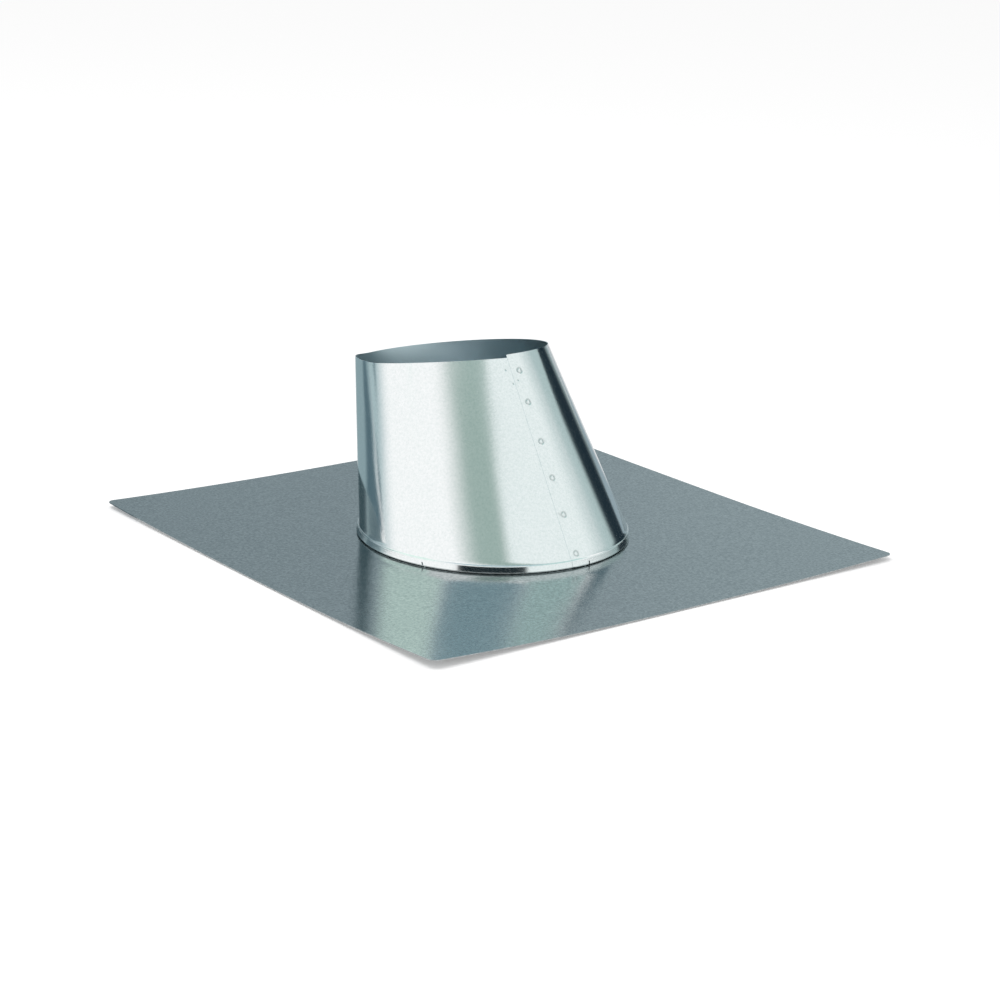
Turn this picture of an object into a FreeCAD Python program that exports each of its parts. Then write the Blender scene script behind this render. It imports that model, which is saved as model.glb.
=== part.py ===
import FreeCAD, Part
import math
import os
from FreeCAD import Vector

# Roof flashing of galvanised sheet for a round vent pipe on a pitched roof.
# The roof plane is XY, +X runs across the slope, +Y up the slope and +Z out of the roof.
# The origin is the centre of the foot circle, on the underside of the base plate.
# Lengths are millimetres and angles degrees.

# Sheet
plate_thickness = 0.48
collar_thickness = 0.48

# Base plate
plate_width = 367.0
plate_depth = 369.0
plate_corner_radius = 5.0

# Collar, measured on its outer face
foot_radius = 88.2
rim_radius = 63.5
rim_height = 112.0
rim_upslope_offset = 49.0
rim_tilt = 9.9

# Rolled bead at the foot of the collar, which holds the collar on the plate's neck:
# a tucked-in lower edge, an upright band and a sloping shoulder up to the crease
bead_height = 5.0
bead_depth = 1.9
edge_tuck = 1.0
tuck_height = 1.3
shoulder_height = 2.4
foot_gap = 0.5

# Turned-up neck round the hole of the plate, nested in the bead
neck_bend_radius = 0.3
seam_clearance = 0.15

# Lap seam down the downslope side of the collar
lap_edge_angle = -93.2
lap_angle = 8.0
lap_gap = 0.06
rim_step = 2.6
rim_step_angle = 70.0

# Spot welds of the lap seam, from the rim down to just above the bead
weld_pitch = 24.7
first_weld = 11.5
last_weld_clearance = 5.0
weld_setback = 5.5
weld_radius = 2.0
weld_depth = 0.2
nugget_radius = 1.2

# Splits in the bead where the rolling tore the edge of the sheet
split_angles = (-158.0, -84.4)
split_width = 1.2
split_height = 3.0

# Round stretches of the sheet are short flats, round the collar and across the bend of the neck
section_angle = 4.0
bend_flat_count = 3

up = Vector(0, 0, 1)
foot_level = plate_thickness + foot_gap
crease_level = foot_level + bead_height
turns = 1 + lap_angle / 360.0
tilt = math.radians(rim_tilt)

# Outer face of the bead, as distance out from the foot radius and height above its lower edge
bead_outline = [
    (bead_depth - edge_tuck, 0),
    (bead_depth, tuck_height),
    (bead_depth, bead_height - shoulder_height),
    (0, bead_height),
]

# The sheet leans at the lap, so its layers stand further apart across than square to it.
lap_foot_y = -foot_radius
lap_rim_y = rim_upslope_offset - rim_radius * math.cos(tilt)
lap_rim_z = rim_height + rim_radius * math.sin(tilt)
lap_lean = math.atan2(lap_rim_y - lap_foot_y, lap_rim_z - crease_level)
shoulder_lean = math.atan2(bead_depth, shoulder_height)
tuck_lean = math.atan2(edge_tuck, tuck_height)
lap_pitch = (collar_thickness + lap_gap) / math.cos(max(lap_lean, shoulder_lean, tuck_lean))
layer_spacing = lap_pitch * math.cos(lap_lean)

rim_centre = Vector(0, rim_upslope_offset, rim_height)
rim_across = Vector(1, 0, 0)
rim_upslope = Vector(0, math.cos(tilt), -math.sin(tilt))


def outward(angle):
    """Horizontal unit vector from the axis of the foot circle."""
    turn = math.radians(angle)
    return Vector(math.cos(turn), math.sin(turn), 0)


def turned(centre, radius, angles):
    """Points on a circle in the (out, height) plane, at angles in radians."""
    return [(centre[0] + radius * math.cos(a), centre[1] + radius * math.sin(a)) for a in angles]


def arc_radius(chord, depth):
    return (chord * chord / 4 + depth * depth) / (2 * depth)


def shifted_inwards(outline, distance):
    """The outline of (out, height) points, walked upwards, at a distance to its inner side."""
    steps = [(b[0] - a[0], b[1] - a[1]) for a, b in zip(outline, outline[1:])]
    normals = [(-step[1] / math.hypot(*step), step[0] / math.hypot(*step)) for step in steps]
    befores = [normals[0]] + normals
    afters = normals + [normals[-1]]
    shifted = []
    for (out, height), before, after in zip(outline, befores, afters):
        mitre = distance / (1 + before[0] * after[0] + before[1] * after[1])
        shifted.append((out + mitre * (before[0] + after[0]), height + mitre * (before[1] + after[1])))
    return shifted


def collar_line(part_turn):
    """Foot, crease, rim and directions of the outer face, a share of a turn from the lap edge.

    The sheet winds inwards by one lap pitch a turn, so its end passes under its start.
    The rim of that end runs down a little, which leaves a step at the lap edge.
    """
    angle = lap_edge_angle + 360 * part_turn
    inset = lap_pitch * part_turn
    radial = outward(angle)
    crease = radial * (foot_radius - inset) + up * crease_level
    round_rim = rim_across * radial.x + rim_upslope * radial.y
    rim = rim_centre + round_rim * (rim_radius - inset)
    rise_direction = (rim - crease).normalize()
    nearness = max(0.0, 1 - 360 * (turns - part_turn) / rim_step_angle)
    rim = rim - rise_direction * (rim_step * nearness ** 2)
    upright = Vector(rise_direction - radial * rise_direction.dot(radial)).normalize()
    return radial, upright, rise_direction, crease, rim


def square_to_wall(radial, upright, rise):
    return radial * rise.dot(upright) - upright * rise.dot(radial)


def collar_section(part_turn):
    """Closed outline of the bent sheet in the plane of one wall line."""
    radial, upright, rise, crease, rim = collar_line(part_turn)
    outer = [(out, (height - bead_height) / upright.z) for out, height in bead_outline]
    outer.append(((rim - crease).dot(radial), (rim - crease).dot(upright)))
    inner = shifted_inwards(outer, collar_thickness)
    corners = [crease + radial * out + upright * along for out, along in outer + inner[::-1]]
    return Part.makePolygon(corners + corners[:1])


def wall_point(distance_from_rim, distance_from_lap):
    """Point on the outer face near the lap edge, and the outward normal there."""
    part_turn = 0.0
    for _ in range(4):
        radial, upright, rise, crease, rim = collar_line(part_turn)
        point = rim - rise * distance_from_rim
        axis_share = (point.z - crease_level) / (rim_height - crease_level)
        local_radius = foot_radius + (rim_radius - foot_radius) * axis_share
        part_turn = distance_from_lap / (2 * math.pi * local_radius)
    return point, square_to_wall(radial, upright, rise)


def make_collar():
    steps = math.ceil(round(360 * turns / section_angle, 6))
    angles = [section_angle * i for i in range(steps)] + [360 * turns]
    sections = [collar_section(angle / 360) for angle in angles]
    collar = Part.makeLoft(sections, True, True)

    # Each weld is a nugget between the two layers, under a shallow round dimple.
    crease, rim = collar_line(0)[3:]
    ball_radius = arc_radius(2 * weld_radius, weld_depth)
    weld_distance = first_weld
    while weld_distance < (rim - crease).Length - last_weld_clearance:
        point, face = wall_point(weld_distance, weld_setback)
        nugget_top = point - face * (weld_depth + (collar_thickness - weld_depth) / 2)
        nugget = Part.makeCylinder(nugget_radius, layer_spacing, nugget_top, face * -1)
        dimple = Part.makeSphere(ball_radius, point + face * (ball_radius - weld_depth))
        collar = collar.fuse(nugget).cut(dimple)
        weld_distance += weld_pitch

    # Each split runs up from the lower edge of the bead.
    reach = bead_depth + collar_thickness + lap_pitch
    for angle in split_angles:
        radial = outward(angle)
        side = up.cross(radial)
        corner = radial * (foot_radius - reach) - side * (split_width / 2) + up * plate_thickness
        opening = Part.makePolygon([
            corner,
            corner + side * split_width,
            corner + side * split_width + up * (foot_gap + split_height),
            corner + up * (foot_gap + split_height),
            corner,
        ])
        collar = collar.cut(Part.Face(opening).extrude(radial * (2 * reach)))
    return collar.removeSplitter()


def make_neck():
    """Turned section from the edge of the flat sheet up into the bead of the collar.

    Above the bend its outer face keeps the seam clearance from the inner face of the bead.
    """
    innermost_foot = foot_radius - lap_pitch * turns
    nested = shifted_inwards(bead_outline, collar_thickness + seam_clearance)[:-1]
    outer = [(innermost_foot + out, foot_level + height) for out, height in nested]
    outer.insert(0, (outer[0][0], plate_thickness + neck_bend_radius))
    inner = shifted_inwards(outer, plate_thickness)

    bend_centre = (outer[0][0] + neck_bend_radius, outer[0][1])
    bend = [math.pi * (1.5 - 0.5 * i / bend_flat_count) for i in range(bend_flat_count)]
    upper_bend = turned(bend_centre, neck_bend_radius, bend)
    lower_bend = turned(bend_centre, neck_bend_radius + plate_thickness, bend)
    outline = upper_bend + outer + inner[::-1] + lower_bend[::-1]
    corners = [Vector(out, 0, height) for out, height in outline]
    neck = Part.Face(Part.makePolygon(corners + corners[:1])).revolve(Vector(0, 0, 0), up, 360)
    return neck, bend_centre[0]


def make_plate():
    neck, hole_radius = make_neck()
    corner = Vector(-plate_width / 2, -plate_depth / 2, 0)
    sheet = Part.makeBox(plate_width, plate_depth, plate_thickness, corner)
    uprights = [edge for edge in sheet.Edges if abs(edge.tangentAt(edge.FirstParameter).z) > 0.9]
    sheet = sheet.makeFillet(plate_corner_radius, uprights)
    hole = Part.makeCylinder(hole_radius, plate_thickness)
    return sheet.cut(hole).fuse(neck).removeSplitter()


os.makedirs("parts", exist_ok=True)
nodes = {"base_plate": make_plate(), "cone_collar": make_collar()}
for name, shape in nodes.items():
    shape.exportStep("parts/" + name + ".step")
    box = shape.BoundBox
    print(name, len(shape.Solids), "solid", shape.isValid(), round(shape.Volume, 1), "mm3",
          round(box.XLength, 2), round(box.YLength, 2), round(box.ZLength, 2))
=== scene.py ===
# %% [markdown]
# # A roof flashing in galvanised sheet
#
# This flashing lets a round vent pipe through a pitched roof. It has two pieces of thin sheet
# steel: a flat, nearly square base plate, and a tapered collar that leans up the slope. The
# construction model holds both at their real size. This lesson gives them their finish: smooth
# rolled sheet, the lap seam with its spot welds, the rolled bead at the foot, and the two very
# different zinc surfaces.

# %% Load the construction model
import math
import bpy
from mathutils import Matrix, Quaternion, Vector, noise


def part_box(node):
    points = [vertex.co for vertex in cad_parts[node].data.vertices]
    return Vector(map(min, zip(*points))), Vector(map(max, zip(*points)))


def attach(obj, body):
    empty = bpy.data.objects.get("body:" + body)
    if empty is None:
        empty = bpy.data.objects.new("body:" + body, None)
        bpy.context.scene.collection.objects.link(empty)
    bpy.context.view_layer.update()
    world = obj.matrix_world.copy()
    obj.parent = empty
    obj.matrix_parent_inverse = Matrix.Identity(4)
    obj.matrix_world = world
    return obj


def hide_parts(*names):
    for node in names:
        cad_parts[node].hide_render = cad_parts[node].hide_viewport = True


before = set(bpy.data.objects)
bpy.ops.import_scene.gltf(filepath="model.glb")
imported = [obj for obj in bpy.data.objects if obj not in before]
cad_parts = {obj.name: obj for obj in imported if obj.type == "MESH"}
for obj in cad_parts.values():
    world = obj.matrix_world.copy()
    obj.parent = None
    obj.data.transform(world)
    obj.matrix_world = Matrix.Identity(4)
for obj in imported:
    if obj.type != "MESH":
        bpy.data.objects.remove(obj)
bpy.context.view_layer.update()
plate_low, plate_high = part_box("base_plate")

# %% [markdown]
# ## Units
#
# All sizes are real ones. Those of the flashing are written in millimetres, because that is how
# sheet work is measured, and are turned into metres only where a point gets its place. The
# camera, the cards and the lamp stand further off and are placed in metres.

# %% Units and thickness of the sheet
MM = 0.001
SHEET = 0.48
print("sheet", SHEET, "mm thick")

# %% [markdown]
# ## The camera
#
# The photograph was taken with a long lens from the downslope corner of the plate, a little
# above the table, and the camera was rolled by a degree or two. The camera is built from these
# facts, so the render has the same perspective as the photograph.

# %% Set up the camera
camera_eye = Vector((-0.9990, -1.2828, 0.5178))
camera_target = Vector((0.0479, 0.0544, 0.0))
camera_roll = math.radians(1.706)

camera_data = bpy.data.cameras.new("camera")
camera_data.sensor_width = 36.0
camera_data.lens = 93.67
camera = bpy.data.objects.new("camera", camera_data)
bpy.context.scene.collection.objects.link(camera)
look = (camera_target - camera_eye).to_track_quat("-Z", "Y")
camera.matrix_world = Matrix.LocRotScale(camera_eye, look @ Quaternion((0, 0, 1), camera_roll), None)
bpy.context.scene.camera = camera
print("camera", round((camera_target - camera_eye).length, 2), "m from the flashing")

# %% [markdown]
# ## Blanks that are rolled to shape
#
# Both pieces start at the works as a flat blank. Here too each one starts as a flat grid, one
# unit square, which is worked on while it is flat and then rolled: a function sends every point
# of the blank to its place on the finished piece. Blender's bend tool needs a window, and the
# collar isn't a plain bend anyway, because it tapers, leans and winds in under its own lap.
# The rolled surface then gets the thickness of the sheet from a modifier.

# %% Add, roll and thicken a blank
smooth_below = math.radians(40)


def select_only(piece):
    bpy.ops.object.select_all(action="DESELECT")
    piece.select_set(True)
    bpy.context.view_layer.objects.active = piece


def add_blank(name, columns, rows):
    """Flat grid from 0 to 1 both ways."""
    bpy.ops.object.select_all(action="DESELECT")
    bpy.ops.mesh.primitive_grid_add(
        x_subdivisions=columns, y_subdivisions=rows, size=1, location=(0.5, 0.5, 0),
    )
    blank = bpy.context.active_object
    blank.name = name
    blank.data.name = name
    bpy.ops.object.transform_apply(location=True)
    return blank


def roll(blank, place):
    for vertex in blank.data.vertices:
        vertex.co = place(vertex.co.x, vertex.co.y, vertex.co.z)
    blank.data.update()


def thicken(piece, thickness):
    """Give the rolled surface the thickness of the sheet, away from its outer side."""
    select_only(piece)
    sheet = piece.modifiers.new("sheet", "SOLIDIFY")
    sheet.thickness = thickness * MM
    sheet.offset = -1
    sheet.use_even_offset = True
    bpy.ops.object.modifier_apply(modifier=sheet.name)
    bpy.ops.object.shade_smooth_by_angle(angle=smooth_below)


# %% [markdown]
# ## The wall of the collar
#
# The wall is straight from the foot circle up to the rim circle, and the rim is tilted. The
# sheet winds in by a little more than its own thickness in one turn, so that its end passes
# under its start and makes the lap. The end of the rim that lies under the lap sits lower, which
# leaves a step at the top of the seam. A cone could be sheared and tilted to this shape, but it
# closes on itself, while rolled sheet has two ends. So every line of the wall is worked out
# from the two circles.

# %% Straight lines of the wall
UP = Vector((0, 0, 1))
foot_radius = 88.2
foot_gap = 0.5
bead_height = 5.0
crease_level = SHEET + foot_gap + bead_height

rim_radius = 63.5
rim_height = 112.0
rim_upslope_offset = 49.0
rim_tilt = math.radians(9.9)
rim_centre = Vector((0, rim_upslope_offset, rim_height))
rim_across = Vector((1, 0, 0))
rim_upslope = Vector((0, math.cos(rim_tilt), -math.sin(rim_tilt)))

lap_edge_angle = -93.2
lap_angle = 8.0
collar_turns = 1 + lap_angle / 360
rim_step = 2.6
rim_step_angle = 70.0

# The rim isn't quite even: at one side it stands a little high, and its sheet is bent out there.
uneven_angle = 148.0
rim_bulge = 0.8
rim_bulge_reach = 60.0
rim_lift = 1.9
rim_lift_reach = 36.0


def nearness(angle, centre, reach):
    """1 at an angle in degrees, falling smoothly to 0 at a reach to either side."""
    gap = abs((angle - centre + 180) % 360 - 180) / reach
    return (1 - gap * gap) ** 2 if gap < 1 else 0.0


def wall_line(turn):
    """Radial direction, start and end of one straight line of the wall, at a share of a turn."""
    degrees = lap_edge_angle + 360 * turn
    angle = math.radians(degrees)
    radial = Vector((math.cos(angle), math.sin(angle), 0))
    crease = radial * foot_radius + UP * crease_level
    out = rim_radius + rim_bulge * nearness(degrees, uneven_angle, rim_bulge_reach)
    rim = rim_centre + (rim_across * radial.x + rim_upslope * radial.y) * out
    rise = (rim - crease).normalized()
    near_end = max(0.0, 1 - 360 * (collar_turns - turn) / rim_step_angle)
    drop = rim_step * near_end ** 2 - rim_lift * nearness(degrees, uneven_angle, rim_lift_reach)
    return radial, crease, rim - rise * drop


for side, side_turn in (("at the lap edge", 0.0), ("opposite the lap edge", 0.5)):
    _, line_start, line_end = wall_line(side_turn)
    print("wall", side, round((line_end - line_start).length, 1), "mm long")

# %% [markdown]
# ## The bead at the foot
#
# The foot carries a rolled bead that holds the collar on the plate's neck: on its way down the
# sheet steps out over a soft shoulder, leans out a little further and tucks in just above the
# plate. It could be a ring of its own, but on the real collar it is the same sheet. So a smooth
# line through a few points gives its section, and bead and wall are rolled as one surface.

# %% Smooth line through given points
def smooth_line(points, share):
    """Point at a share of a smooth line through given points (Catmull-Rom)."""
    spans = len(points) - 1
    index = min(int(share * spans), spans - 1)
    t = share * spans - index
    before = points[max(index - 1, 0)]
    start = points[index]
    end = points[index + 1]
    after = points[min(index + 2, spans)]
    return [
        0.5 * (2 * b + (c - a) * t + (2 * a - 5 * b + 4 * c - d) * t * t + (3 * b - a - 3 * c + d) * t ** 3)
        for a, b, c, d in zip(before, start, end, after)
    ]


# %% Bead and wall as one surface
# Distance out from the foot radius and height above the lower edge, from the lower edge upwards
bead_outline = [
    (0.8, 0.0), (1.35, 0.25), (1.58, 0.75), (1.38, 1.7), (1.16, 2.7), (0.94, 3.7), (0.8, 4.35), (0.52, 4.75),
    (0.15, 5.0), (0.0, 5.4),
]
bead_top = bead_outline[-1][1]
bead_rows = 27
wall_rows = 56
collar_rows = bead_rows + wall_rows
collar_columns = 184


def surface_point(turn, row):
    """Point on the outer face, in millimetres, before the sheet winds in."""
    radial, crease, rim = wall_line(turn)
    rise = (rim - crease).normalized()
    if row < bead_rows:
        out, height = smooth_line(bead_outline, max(row, 0) / bead_rows)
    else:
        out = 0.0
        height = bead_top + (row - bead_rows) / wall_rows * ((rim - crease).length + bead_height - bead_top)
    if height > bead_height:
        return crease + rise * (height - bead_height) + radial * out
    upright = Vector(rise - radial * rise.dot(radial))
    return crease - upright * ((bead_height - height) / upright.z) + radial * out


print("collar blank", collar_columns, "columns round and", collar_rows, "rows up")

# %% Place of each point of the collar's blank
lap_pitch = 0.53
row_nudge = 0.3

# The free edge of the lap is pressed down onto the layer below it, over a few degrees.
edge_press = 0.40
edge_press_angle = 2.5

# Rolled sheet is never quite even: long shallow waves bend the reflections a little.
wave_height = 0.10
wave_frequency = 0.035
wave_stretch = 0.35


def collar_place(x, y, depth):
    turn = x * collar_turns
    row = y * collar_rows
    place = surface_point(turn, row)
    climb = surface_point(turn, row + row_nudge) - surface_point(turn, max(row - row_nudge, 0))
    angle = math.radians(lap_edge_angle + 360 * turn)
    along = Vector((-math.sin(angle), math.cos(angle), 0))
    outward = along.cross(climb).normalized()
    from_edge = 360 * turn / edge_press_angle
    press = -edge_press * (1 - from_edge) ** 2 if from_edge < 1 else 0.0
    wave = wave_height * noise.noise(Vector((place.x, place.y, place.z * wave_stretch)) * wave_frequency)
    return (place + outward * (depth + press + wave - lap_pitch * turn)) * MM


# %% [markdown]
# ## Spot welds
#
# Each weld shows as a ring a few millimetres across, where the tip of the electrode sank into
# the soft sheet. A ring that small needs small faces, so the blank is subdivided only there,
# and the ring is pressed in while the blank is still flat. Each point that moves is also marked
# in an attribute, so that the material can darken the ring.

# %% Places of the spot welds
# Each weld's distance down from the rim, and back from the lap edge
weld_spots = [(11.5, 6.2), (32.8, 5.2), (59.7, 5.5), (84.2, 5.2), (108.9, 4.9), (134.9, 4.9)]
# Small nicks beside the first weld, placed the same way; two of them lie just beyond the lap edge
nick_spots = [(8.0, -3.9), (17.7, -1.4), (17.7, 2.6)]
settling_rounds = 4


def places_of(spots):
    """Turn share, height above the crease, wall radius and wall length of each spot."""
    places = []
    for distance, setback in spots:
        turn = 0.0
        for _ in range(settling_rounds):
            _, crease, rim = wall_line(turn)
            length = (rim - crease).length
            height = length - distance
            local_radius = foot_radius + (rim_radius - foot_radius) * height / length
            turn = setback / (2 * math.pi * local_radius)
        places.append((turn % 1, height, local_radius, length))
    return places


def blank_distance(point, place):
    """Distance in millimetres on the wall between a point of the blank and a weld's place."""
    turn, height, local_radius, length = place
    along = (point.y * collar_rows - bead_rows) / wall_rows
    wall_height = bead_top - bead_height + along * (length + bead_height - bead_top)
    across = (point.x * collar_turns - turn) * 2 * math.pi * local_radius
    return math.hypot(across, wall_height - height)


for number, weld_place in enumerate(places_of(weld_spots), 1):
    print("weld", number, "stands", round(weld_place[1], 1), "mm above the crease")

# %% Press the spot welds
ring_radius = 1.7
ring_width = 0.55
ring_depth = 0.22
ring_fade = 3
weld_field = 3.6
weld_field_cuts = 7


def refine_at(blank, places):
    """Subdivide the faces of the blank that lie near a place."""
    select_only(blank)
    bpy.ops.object.mode_set(mode="EDIT")
    bpy.ops.mesh.select_all(action="DESELECT")
    bpy.ops.object.mode_set(mode="OBJECT")
    for face in blank.data.polygons:
        face.select = any(blank_distance(face.center, place) < weld_field for place in places)
    bpy.ops.object.mode_set(mode="EDIT")
    bpy.ops.mesh.select_mode(type="FACE")
    bpy.ops.mesh.subdivide(number_cuts=weld_field_cuts)
    bpy.ops.object.mode_set(mode="OBJECT")


def press_welds(blank):
    """Push a ring into the blank at each weld and a pit at each nick, and mark them."""
    rings = [(place, ring_radius) for place in places_of(weld_spots)]
    pits = [(place, 0.0) for place in places_of(nick_spots)]
    presses = rings + pits
    refine_at(blank, [place for place, _ in presses])
    marks = blank.data.attributes.new("weld_mark", "FLOAT", "POINT")
    for vertex in blank.data.vertices:
        for place, radius in presses:
            offset = (blank_distance(vertex.co, place) - radius) / ring_width
            if abs(offset) < ring_fade:
                ring = math.exp(-offset * offset)
                vertex.co.z -= ring_depth * ring
                marks.data[vertex.index].value = ring
    print("pressed", len(rings), "welds and", len(pits), "nicks")


# %% [markdown]
# ## Splits in the bead
#
# Rolling the bead tore the lower edge of the sheet in two places. A split is a narrow slot, which
# a boolean could take out of the finished bead, but its layers lie too close together for that.
# So it is cut while the blank is flat: two straight cuts, and the faces between them are taken
# out from the lower edge up to nearly half of the bead.

# %% Cut the splits
split_angles = (-158.0, -84.4)
split_width = 1.0
split_reach = 0.45


def cut_blank(blank, point, direction):
    """Straight cut right across the blank."""
    bpy.ops.mesh.select_all(action="SELECT")
    bpy.ops.mesh.bisect(plane_co=point, plane_no=direction)


def cut_split(blank, angle):
    middle = (angle - lap_edge_angle) % 360 / 360 / collar_turns
    half = split_width / 2 / (2 * math.pi * foot_radius) / collar_turns
    top = bead_rows * split_reach / collar_rows
    select_only(blank)
    bpy.ops.object.mode_set(mode="EDIT")
    cut_blank(blank, (middle - half, 0, 0), (1, 0, 0))
    cut_blank(blank, (middle + half, 0, 0), (1, 0, 0))
    bpy.ops.mesh.select_all(action="DESELECT")
    bpy.ops.object.mode_set(mode="OBJECT")
    for face in blank.data.polygons:
        face.select = abs(face.center.x - middle) < half and face.center.y < top
    print("split takes out", sum(face.select for face in blank.data.polygons), "faces")
    bpy.ops.object.mode_set(mode="EDIT")
    bpy.ops.mesh.select_mode(type="FACE")
    bpy.ops.mesh.delete(type="FACE")
    bpy.ops.object.mode_set(mode="OBJECT")


# %% [markdown]
# ## Rolling the collar
#
# The blank is pressed and split first and rolled last, as at the works. The inside of the collar
# is rougher than its outside, and its darker, bluer tone is painted shade, for the light that the
# collar keeps out of its inside. Both are one sheet with one material, so the faces whose normals
# point at the collar's axis are marked in an attribute, and the material reads that.

# %% Roll the collar
collar = add_blank("cone_collar_sheet", collar_columns, collar_rows)
press_welds(collar)
for split_angle in split_angles:
    cut_split(collar, split_angle)
roll(collar, collar_place)
thicken(collar, SHEET)

inner_side = collar.data.attributes.new("inner_side", "FLOAT", "FACE")
for face in collar.data.polygons:
    axis_shift = rim_upslope_offset * MM * face.center.z / (rim_height * MM)
    way_out = Vector((face.center.x, face.center.y - axis_shift, 0))
    inner_side.data[face.index].value = 1.0 if face.normal.dot(way_out) < 0 else 0.0
print("collar faces:", len(collar.data.polygons))

# %% [markdown]
# ## The base plate
#
# The plate is a flat blank with a hole whose edge is turned up into a neck, hidden inside the
# bead. Its columns run round the hole and its rows run from the outer edge to the lip of the
# neck. Handling has bent the corners up by a few millimetres, which the light shows at once.

# %% Outer edge of the plate
plate_width = round((plate_high[0] - plate_low[0]) / MM, 1)
plate_depth = round((plate_high[1] - plate_low[1]) / MM, 1)
plate_corner_radius = 5.0
side_columns = 40
corner_columns = 8
plate_columns = 4 * (side_columns + corner_columns)


def plate_edge(share):
    """Point on the outer edge of the plate, anticlockwise from the downslope side."""
    count = side_columns + corner_columns
    step = (share % 1) * 4 * count
    side = int(step // count)
    local = step - side * count
    half_x = plate_width / 2 - plate_corner_radius
    half_y = plate_depth / 2 - plate_corner_radius
    corners = [(-half_x, -half_y), (half_x, -half_y), (half_x, half_y), (-half_x, half_y)]
    start = Vector(corners[side])
    end = Vector(corners[(side + 1) % 4])
    direction = math.radians(-90 + 90 * side)
    if local < side_columns:
        centre = start.lerp(end, local / side_columns)
    else:
        centre = end
        direction += math.radians(90) * (local - side_columns) / corner_columns
    return centre + Vector((math.cos(direction), math.sin(direction))) * plate_corner_radius


print("plate", plate_width, "by", plate_depth, "mm")

# %% Neck and bent-up corners
neck_radius = 87.9
# Radius and height of the outer face of the neck, from the edge of the flat sheet up to the lip
neck_outline = [
    (neck_radius + 0.8, SHEET), (neck_radius + 0.15, SHEET + 0.15), (neck_radius - 0.02, SHEET + 0.6),
    (neck_radius + 0.05, SHEET + 0.95), (neck_radius + 0.45, SHEET + 1.5), (neck_radius + 0.7, SHEET + 2.1),
    (neck_radius + 0.7, SHEET + 2.9),
]
flat_rows = 34
neck_rows = 18
plate_rows = flat_rows + neck_rows

# Lift of each corner; a corner is named by its side across the slope and its side up the slope.
corner_lift = {(-1, 1): 3.0, (-1, -1): 5.0, (1, -1): 3.0, (1, 1): 0.5}
corner_sharpness = 2.2


def plate_lift(x, y):
    """Height of the bent-up corners, which falls to nothing at the plate's middle lines."""
    reach_x = abs(x) / (plate_width / 2)
    reach_y = abs(y) / (plate_depth / 2)
    side = (1 if x > 0 else -1, 1 if y > 0 else -1)
    return corner_lift[side] * (reach_x * reach_y) ** corner_sharpness


def plate_place(x, y, depth):
    edge = plate_edge(x)
    angle = math.atan2(edge.y, edge.x)
    row = y * plate_rows
    if row < flat_rows:
        bend = Vector((math.cos(angle), math.sin(angle))) * neck_outline[0][0]
        point = edge.lerp(bend, row / flat_rows)
        height = neck_outline[0][1] + plate_lift(point.x, point.y)
    else:
        radius, height = smooth_line(neck_outline, (row - flat_rows) / neck_rows)
        point = Vector((math.cos(angle), math.sin(angle))) * radius
    return Vector((point.x, point.y, height + depth)) * MM


# %% Form the plate
join_distance = 1e-6
plate = add_blank("base_plate_sheet", plate_columns, plate_rows)
roll(plate, plate_place)
select_only(plate)
bpy.ops.object.mode_set(mode="EDIT")
bpy.ops.mesh.select_all(action="SELECT")
bpy.ops.mesh.remove_doubles(threshold=join_distance)
bpy.ops.object.mode_set(mode="OBJECT")
thicken(plate, SHEET)
print("plate faces:", len(plate.data.polygons))

# %% [markdown]
# ## Zinc
#
# Both sheets are galvanised, but the collar's zinc is bright and smooth, so that it mirrors the
# room in long streaks, and the plate's is dull with a fine grain. One node group makes the
# grain for both, from noise at the scale of the zinc's crystals: it varies the tint, the
# roughness and the fine bumps of each sheet by its own amounts.

# %% Node group for zinc grain
noise_detail = 3.0
noise_roughness = 0.6
noise_middle = 0.5


def make_grain_group():
    group = bpy.data.node_groups.new("zinc grain", "ShaderNodeTree")
    interface = group.interface
    interface.new_socket("Vector", in_out="INPUT", socket_type="NodeSocketVector")
    for name, value in (("Scale", 900.0), ("Amount", 0.1), ("Base", 0.5)):
        socket = interface.new_socket(name, in_out="INPUT", socket_type="NodeSocketFloat")
        socket.default_value = value
    interface.new_socket("Value", in_out="OUTPUT", socket_type="NodeSocketFloat")
    nodes = group.nodes
    links = group.links
    source = nodes.new("NodeGroupInput")
    result = nodes.new("NodeGroupOutput")
    fine = nodes.new("ShaderNodeTexNoise")
    fine.inputs["Detail"].default_value = noise_detail
    fine.inputs["Roughness"].default_value = noise_roughness
    centred = nodes.new("ShaderNodeMath")
    centred.operation = "SUBTRACT"
    centred.inputs[1].default_value = noise_middle
    scaled = nodes.new("ShaderNodeMath")
    scaled.operation = "MULTIPLY_ADD"
    links.new(source.outputs["Vector"], fine.inputs["Vector"])
    links.new(source.outputs["Scale"], fine.inputs["Scale"])
    links.new(fine.outputs["Fac"], centred.inputs[0])
    links.new(centred.outputs[0], scaled.inputs[0])
    links.new(source.outputs["Amount"], scaled.inputs[1])
    links.new(source.outputs["Base"], scaled.inputs[2])
    links.new(scaled.outputs[0], result.inputs["Value"])
    return group


grain_group = make_grain_group()
print("node group", grain_group.name, "has", len(grain_group.nodes), "nodes")


# %% A metal and its grain
def new_metal(name):
    """Metal material, with its shader and the coordinates of the object it is on."""
    material = bpy.data.materials.new(name)
    material.use_nodes = True
    shader = material.node_tree.nodes["Principled BSDF"]
    shader.inputs["Metallic"].default_value = 1.0
    coordinates = material.node_tree.nodes.new("ShaderNodeTexCoord")
    return material, shader, coordinates.outputs["Object"]


def add_grain(material, vector, scale, amount, base):
    """Value that varies with the grain, by an amount, round a base."""
    node = material.node_tree.nodes.new("ShaderNodeGroup")
    node.node_tree = grain_group
    node.inputs["Scale"].default_value = scale
    node.inputs["Amount"].default_value = amount
    node.inputs["Base"].default_value = base
    material.node_tree.links.new(vector, node.inputs["Vector"])
    return node.outputs["Value"]


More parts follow.
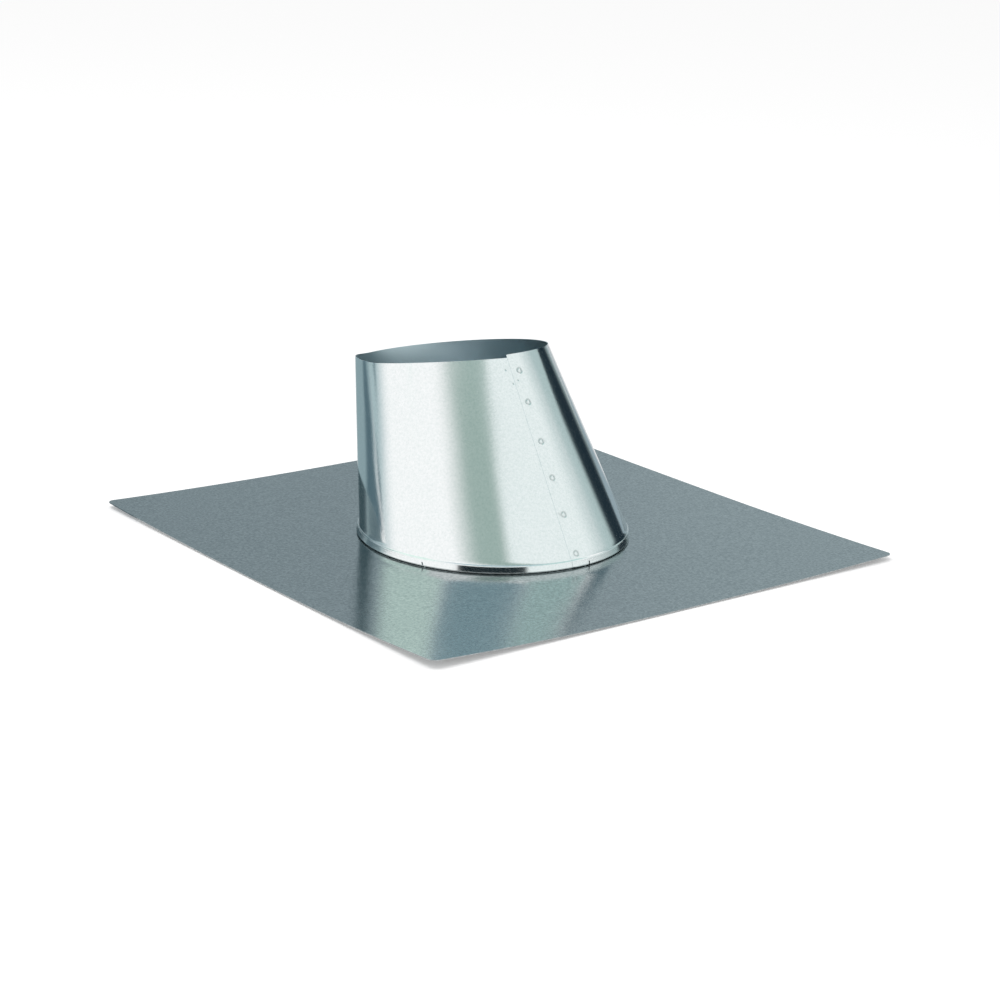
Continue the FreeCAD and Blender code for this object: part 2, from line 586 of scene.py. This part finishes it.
def add_tint(material, factor, dark, light):
    """Colour between two tones, by a factor."""
    mix = material.node_tree.nodes.new("ShaderNodeMix")
    mix.data_type = "RGBA"
    mix.inputs["A"].default_value = (*dark, 1)
    mix.inputs["B"].default_value = (*light, 1)
    material.node_tree.links.new(factor, mix.inputs["Factor"])
    return mix.outputs["Result"]


def add_bump(material, height, distance, strength):
    bump = material.node_tree.nodes.new("ShaderNodeBump")
    bump.inputs["Distance"].default_value = distance
    bump.inputs["Strength"].default_value = strength
    material.node_tree.links.new(height, bump.inputs["Height"])
    return bump.outputs["Normal"]


def finish_metal(material, shader, tint, haze, normal):
    links = material.node_tree.links
    links.new(tint, shader.inputs["Base Color"])
    links.new(haze, shader.inputs["Roughness"])
    links.new(normal, shader.inputs["Normal"])
    print(material.name, "has", len(material.node_tree.nodes), "nodes")


# %% Marks that the mesh carries
def read_mark(material, name):
    mark = material.node_tree.nodes.new("ShaderNodeAttribute")
    mark.attribute_name = name
    return mark.outputs["Fac"]


def add_share(material, value, share, addend=None):
    """Share of a value, added to another value where one is given."""
    node = material.node_tree.nodes.new("ShaderNodeMath")
    node.operation = "MULTIPLY" if addend is None else "MULTIPLY_ADD"
    node.inputs[1].default_value = share
    material.node_tree.links.new(value, node.inputs[0])
    if addend is not None:
        material.node_tree.links.new(addend, node.inputs[2])
    return node.outputs[0]


def add_shade(material, factor, tint, tone):
    """Turn a tint into a plain tone, by a factor."""
    mix = material.node_tree.nodes.new("ShaderNodeMix")
    mix.data_type = "RGBA"
    mix.inputs["B"].default_value = (*tone, 1)
    material.node_tree.links.new(factor, mix.inputs["Factor"])
    material.node_tree.links.new(tint, mix.inputs["A"])
    return mix.outputs["Result"]


# %% Bright zinc of the collar
bright_tones = [(0.84, 0.885, 0.885), (0.95, 0.97, 0.975)]
weld_tone = (0.40, 0.44, 0.44)
weld_strength = 0.7
# Painted shade: the inside of the collar gets a darker, bluer tone than its outside
inner_painted_shade = (0.65, 0.765, 0.81)
inner_haze = 0.17

bright_zinc, bright_shader, bright_at = new_metal("bright zinc")
bright_mottle = add_grain(bright_zinc, bright_at, scale=650, amount=3.0, base=0.5)
outer_tint = add_tint(bright_zinc, bright_mottle, *bright_tones)
weld_mark = add_share(bright_zinc, read_mark(bright_zinc, "weld_mark"), weld_strength)
weld_tint = add_shade(bright_zinc, weld_mark, outer_tint, weld_tone)
inner_mark = read_mark(bright_zinc, "inner_side")
bright_tint = add_shade(bright_zinc, inner_mark, weld_tint, inner_painted_shade)
outer_haze = add_grain(bright_zinc, bright_at, scale=60, amount=0.05, base=0.115)
bright_haze = add_share(bright_zinc, inner_mark, inner_haze, outer_haze)
bright_bumps = add_grain(bright_zinc, bright_at, scale=520, amount=1.0, base=0.5)
bright_normal = add_bump(bright_zinc, bright_bumps, distance=0.00004, strength=0.25)
finish_metal(bright_zinc, bright_shader, bright_tint, bright_haze, bright_normal)

# %% Dull zinc of the plate
dull_tones = [(0.33, 0.364, 0.374), (0.545, 0.575, 0.578)]

dull_zinc, dull_shader, dull_at = new_metal("dull zinc")
dull_mottle = add_grain(dull_zinc, dull_at, scale=620, amount=3.2, base=0.5)
dull_tint = add_tint(dull_zinc, dull_mottle, *dull_tones)
dull_haze = add_grain(dull_zinc, dull_at, scale=80, amount=0.06, base=0.17)
dull_bumps = add_grain(dull_zinc, dull_at, scale=700, amount=1.0, base=0.5)
dull_normal = add_bump(dull_zinc, dull_bumps, distance=0.00004, strength=0.35)
finish_metal(dull_zinc, dull_shader, dull_tint, dull_haze, dull_normal)

# %% [markdown]
# ## A zinc for each piece
#
# Each piece is one sheet with one finish, so it has one material. Nothing on a flashing moves, so
# both pieces ride on the same body, and each is shown in place of its node of the construction
# model.

# %% Finish both pieces
for piece, node, material, slot in (
    (collar, "cone_collar", bright_zinc, "collar_sheet"),
    (plate, "base_plate", dull_zinc, "plate_sheet"),
):
    piece.data.materials.clear()
    piece.data.materials.append(material)
    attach(piece, "root")
    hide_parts(node)
    print(piece.name, "stands for", node)

# %% [markdown]
# ## The floor
#
# The flashing lies on a pale floor. A little glow that only the camera sees lifts the floor to
# the white of the photograph's background, and leaves the soft shadow of the plate on it.

# %% Pale floor
WHITE = (1, 1, 1, 1)
floor_size = 12
floor_level = -0.0008
floor_colour = (0.92, 0.92, 0.92, 1)
floor_glow = 0.25

bpy.ops.object.select_all(action="DESELECT")
bpy.ops.mesh.primitive_plane_add(size=floor_size, location=(0, 0, floor_level))
floor = bpy.context.active_object
floor.name = "floor"
floor_material = bpy.data.materials.new("floor")
floor_material.use_nodes = True
floor_shader = floor_material.node_tree.nodes["Principled BSDF"]
floor_shader.inputs["Base Color"].default_value = floor_colour
floor_shader.inputs["Roughness"].default_value = 1.0
floor_shader.inputs["Specular IOR Level"].default_value = 0.0
floor_shader.inputs["Emission Color"].default_value = WHITE
floor_path = floor_material.node_tree.nodes.new("ShaderNodeLightPath")
camera_glow = add_share(floor_material, floor_path.outputs["Is Camera Ray"], floor_glow)
floor_material.node_tree.links.new(camera_glow, floor_shader.inputs["Emission Strength"])
floor.data.materials.append(floor_material)
print("floor", floor_size, "m square")

# %% [markdown]
# ## Cards for the reflections
#
# Polished metal shows its surroundings, so a photographer shapes it with cards. The streaks
# could be painted into the zinc, but then they would stay put when the flashing is seen from
# another side. So each streak is the mirror image of a card: a pale room gives the white
# streaks, a grey card above the camera gives the grey streak in the middle, and dark cards low
# beside the collar give its dark edges. The cards are out of the camera's sight and light
# nothing: only reflections see them.


# %% Glow of a card
def card_material(name, tone, fades):
    """Plain glowing card whose two side edges fade out over a share of its width."""
    material = bpy.data.materials.new(name)
    material.use_nodes = True
    tree = material.node_tree
    tree.nodes.clear()
    glow = tree.nodes.new("ShaderNodeEmission")
    glow.inputs["Color"].default_value = (*tone, 1)
    clear = tree.nodes.new("ShaderNodeBsdfTransparent")
    blend = tree.nodes.new("ShaderNodeMixShader")
    output = tree.nodes.new("ShaderNodeOutputMaterial")
    layout = tree.nodes.new("ShaderNodeUVMap")
    parts = tree.nodes.new("ShaderNodeSeparateXYZ")
    cover = tree.nodes.new("ShaderNodeMath")
    cover.operation = "MINIMUM"
    tree.links.new(layout.outputs["UV"], parts.inputs["Vector"])
    for i, (side_edge, full_from) in enumerate(((0.0, fades[0]), (1.0, 1.0 - fades[1]))):
        ramp = tree.nodes.new("ShaderNodeMapRange")
        ramp.interpolation_type = "SMOOTHSTEP"
        ramp.inputs["From Min"].default_value = side_edge
        ramp.inputs["From Max"].default_value = full_from
        tree.links.new(parts.outputs["X"], ramp.inputs["Value"])
        tree.links.new(ramp.outputs["Result"], cover.inputs[i])
    tree.links.new(cover.outputs[0], blend.inputs["Fac"])
    tree.links.new(clear.outputs["BSDF"], blend.inputs[1])
    tree.links.new(glow.outputs["Emission"], blend.inputs[2])
    tree.links.new(blend.outputs["Shader"], output.inputs["Surface"])
    return material


# %% Standing and lying cards
standing_columns = 24
standing_rows = 12
standing_centre = UP * 0.06
lying_columns = 48
lying_rows = 2


def between(ends, share):
    return ends[0] + (ends[1] - ends[0]) * share


def straight(left, right):
    """Side edges, in degrees round the collar, of a card that is as wide at its foot as at its top."""
    return [(left, right)] * 2


def finish_card(card, tone, fades):
    card.data.materials.append(card_material(card.name, tone, fades))
    card.visible_camera = False
    card.visible_diffuse = False
    card.visible_shadow = False
    print("card:", card.name)


def add_standing_card(name, sides, elevations, distance, tone, fades):
    """A curved card round the collar, between two elevations in degrees.

    The azimuths of its two side edges are listed from the bottom of the card to its top.
    """
    card = add_blank(name, standing_columns, standing_rows)

    def place(x, y, _):
        azimuth = math.radians(between(smooth_line(sides, y), x))
        elevation = math.radians(between(elevations, y))
        level = Vector((math.cos(azimuth), math.sin(azimuth), 0)) * math.cos(elevation)
        return (level + UP * math.sin(elevation)) * distance + standing_centre

    roll(card, place)
    finish_card(card, tone, fades)


def add_lying_card(name, centre, sides, distances, height, tone, fades):
    """A flat card on the floor, between two azimuths in degrees and two distances from a centre."""
    card = add_blank(name, lying_columns, lying_rows)

    def place(x, y, _):
        azimuth = math.radians(between(sides, x))
        distance = between(distances, y)
        across = centre[0] + math.cos(azimuth) * distance
        upslope = centre[1] + math.sin(azimuth) * distance
        return Vector((across, upslope, height))

    roll(card, place)
    finish_card(card, tone, fades)


# %% Cards in front of the collar
add_standing_card("pale card", sides=straight(-114, -20), elevations=(-2, 62), distance=2.5,
                  tone=(0.85, 0.905, 0.90), fades=(0.05, 0.02))
add_standing_card("grey card above the camera",
                  sides=[(-166, -105), (-163, -105), (-158, -104), (-152, -90), (-144, -36)],
                  elevations=(30, 50), distance=2.2, tone=(0.34, 0.445, 0.41), fades=(0.46, 0.22))
add_standing_card("dark card behind the camera", sides=straight(-157, -98), elevations=(-1, 13), distance=2.2,
                  tone=(0.012, 0.02, 0.024), fades=(0.06, 0.06))
add_standing_card("grey card to the right", sides=straight(-36, 26), elevations=(-2, 34), distance=1.9,
                  tone=(0.44, 0.55, 0.55), fades=(0.42, 0.1))
add_standing_card("dark card to the right", sides=straight(-8, 28), elevations=(-3, 17), distance=1.6,
                  tone=(0.012, 0.024, 0.034), fades=(0.2, 0.4))

# %% Cards behind the collar
shade_tone = (0.10, 0.16, 0.19)

add_standing_card("back card", sides=straight(6, 142), elevations=(0, 45), distance=2.4,
                  tone=(0.36, 0.438, 0.472), fades=(0.06, 0.2))
add_standing_card("light back card", sides=straight(28, 54), elevations=(6, 30), distance=2.35,
                  tone=(0.438, 0.527, 0.56), fades=(0.3, 0.4))
add_standing_card("dark back card", sides=straight(64, 110), elevations=(6, 30), distance=2.3,
                  tone=(0.07, 0.12, 0.14), fades=(0.3, 0.35))
add_standing_card("soft card to the left", sides=straight(100, 150), elevations=(-3, 13), distance=2.2,
                  tone=(0.42, 0.54, 0.56), fades=(0.1, 0.5))
add_standing_card("dark card to the left", sides=straight(101, 124), elevations=(-0.4, 2), distance=2.1,
                  tone=shade_tone, fades=(0.4, 0.4))
add_standing_card("dark card above it", sides=straight(101, 132), elevations=(2, 9.5), distance=2.1,
                  tone=shade_tone, fades=(0.3, 0.15))
add_standing_card("dark strip below it", sides=straight(125, 133), elevations=(-1.8, -0.9), distance=2.1,
                  tone=shade_tone, fades=(0.3, 0.15))

# %% Cards on the table
left_of_collar = (-0.075, 0.03)
right_of_collar = (0.04, -0.04)
grey_level = -0.0006
dark_level = -0.0004
dark_table_tone = (0.09, 0.15, 0.18)

add_lying_card("grey table card", left_of_collar, sides=(56, 138), distances=(0.10, 2.4), height=grey_level,
               tone=(0.26, 0.36, 0.39), fades=(0.2, 0.3))
add_lying_card("dark table card, near", left_of_collar, sides=(98, 134), distances=(0.12, 0.62),
               height=dark_level, tone=dark_table_tone, fades=(0.3, 0.07))
add_lying_card("dark table card, middle", left_of_collar, sides=(98, 123), distances=(0.62, 1.2),
               height=dark_level, tone=dark_table_tone, fades=(0.3, 0.3))
add_lying_card("dark table card, far", left_of_collar, sides=(125, 133), distances=(1.2, 2.1),
               height=dark_level, tone=dark_table_tone, fades=(0.3, 0.15))
add_lying_card("right table card", right_of_collar, sides=(10, 42), distances=(0.14, 2.4), height=grey_level,
               tone=(0.30, 0.38, 0.42), fades=(0.05, 0.4))

# %% Cards overhead
add_standing_card("overhead card", sides=straight(166, 312), elevations=(51, 89), distance=1.8,
                  tone=(0.325, 0.47, 0.525), fades=(0.09, 0.14))
add_standing_card("green card to the left", sides=straight(108, 176), elevations=(26, 62), distance=2.05,
                  tone=(0.80, 0.97, 0.90), fades=(0.3, 0.1))
add_standing_card("upper dark card", sides=straight(6, 32), elevations=(29, 47), distance=1.85,
                  tone=(0.13, 0.21, 0.25), fades=(0.35, 0.35))
add_standing_card("upper right card", sides=straight(-58, 12), elevations=(46, 74), distance=2.0,
                  tone=(0.55, 0.73, 0.71), fades=(0.1, 0.18))

# %% [markdown]
# ## World and lamp
#
# The room is white wherever the camera looks or the metal mirrors it, and lights the flashing at
# a plain level. One soft lamp above the left side strengthens the plate's shadow on the floor.
# Reflections don't show the lamp, because a bright patch would break up the streaks.

# %% White room
room_light = 0.75
room_white = 1.0

world = bpy.data.worlds.new("world")
bpy.context.scene.world = world
world.use_nodes = True
tree = world.node_tree
background = tree.nodes["Background"]
background.inputs["Color"].default_value = WHITE
light_path = tree.nodes.new("ShaderNodeLightPath")
seen = tree.nodes.new("ShaderNodeMath")
seen.operation = "MAXIMUM"
seen_through = tree.nodes.new("ShaderNodeMath")
seen_through.operation = "MAXIMUM"
strength = tree.nodes.new("ShaderNodeMix")
strength.data_type = "FLOAT"
strength.inputs["A"].default_value = room_light
strength.inputs["B"].default_value = room_white
tree.links.new(light_path.outputs["Is Camera Ray"], seen.inputs[0])
tree.links.new(light_path.outputs["Is Glossy Ray"], seen.inputs[1])
tree.links.new(seen.outputs[0], seen_through.inputs[0])
tree.links.new(light_path.outputs["Is Transmission Ray"], seen_through.inputs[1])
tree.links.new(seen_through.outputs[0], strength.inputs["Factor"])
tree.links.new(strength.outputs["Result"], background.inputs["Strength"])
print("room lights the flashing at", room_light)

# %% Soft lamp
lamp_data = bpy.data.lights.new("soft lamp", "AREA")
lamp_data.shape = "RECTANGLE"
lamp_data.size = 1.6
lamp_data.size_y = 1.2
lamp_data.energy = 14
lamp = bpy.data.objects.new("soft lamp", lamp_data)
bpy.context.scene.collection.objects.link(lamp)
lamp.visible_glossy = False
lamp.location = (-0.9, -0.2, 1.9)
lamp.rotation_euler = (-lamp.location).to_track_quat("-Z", "Y").to_euler()
print("lamp of", lamp_data.energy, "W,", round(lamp.location.length, 2), "m from the flashing")

# %% [markdown]
# ## Size and hand-over
# The colours are shown plainly, with no film look.

# %% Show the colours plainly
bpy.context.scene.view_settings.view_transform = "Standard"
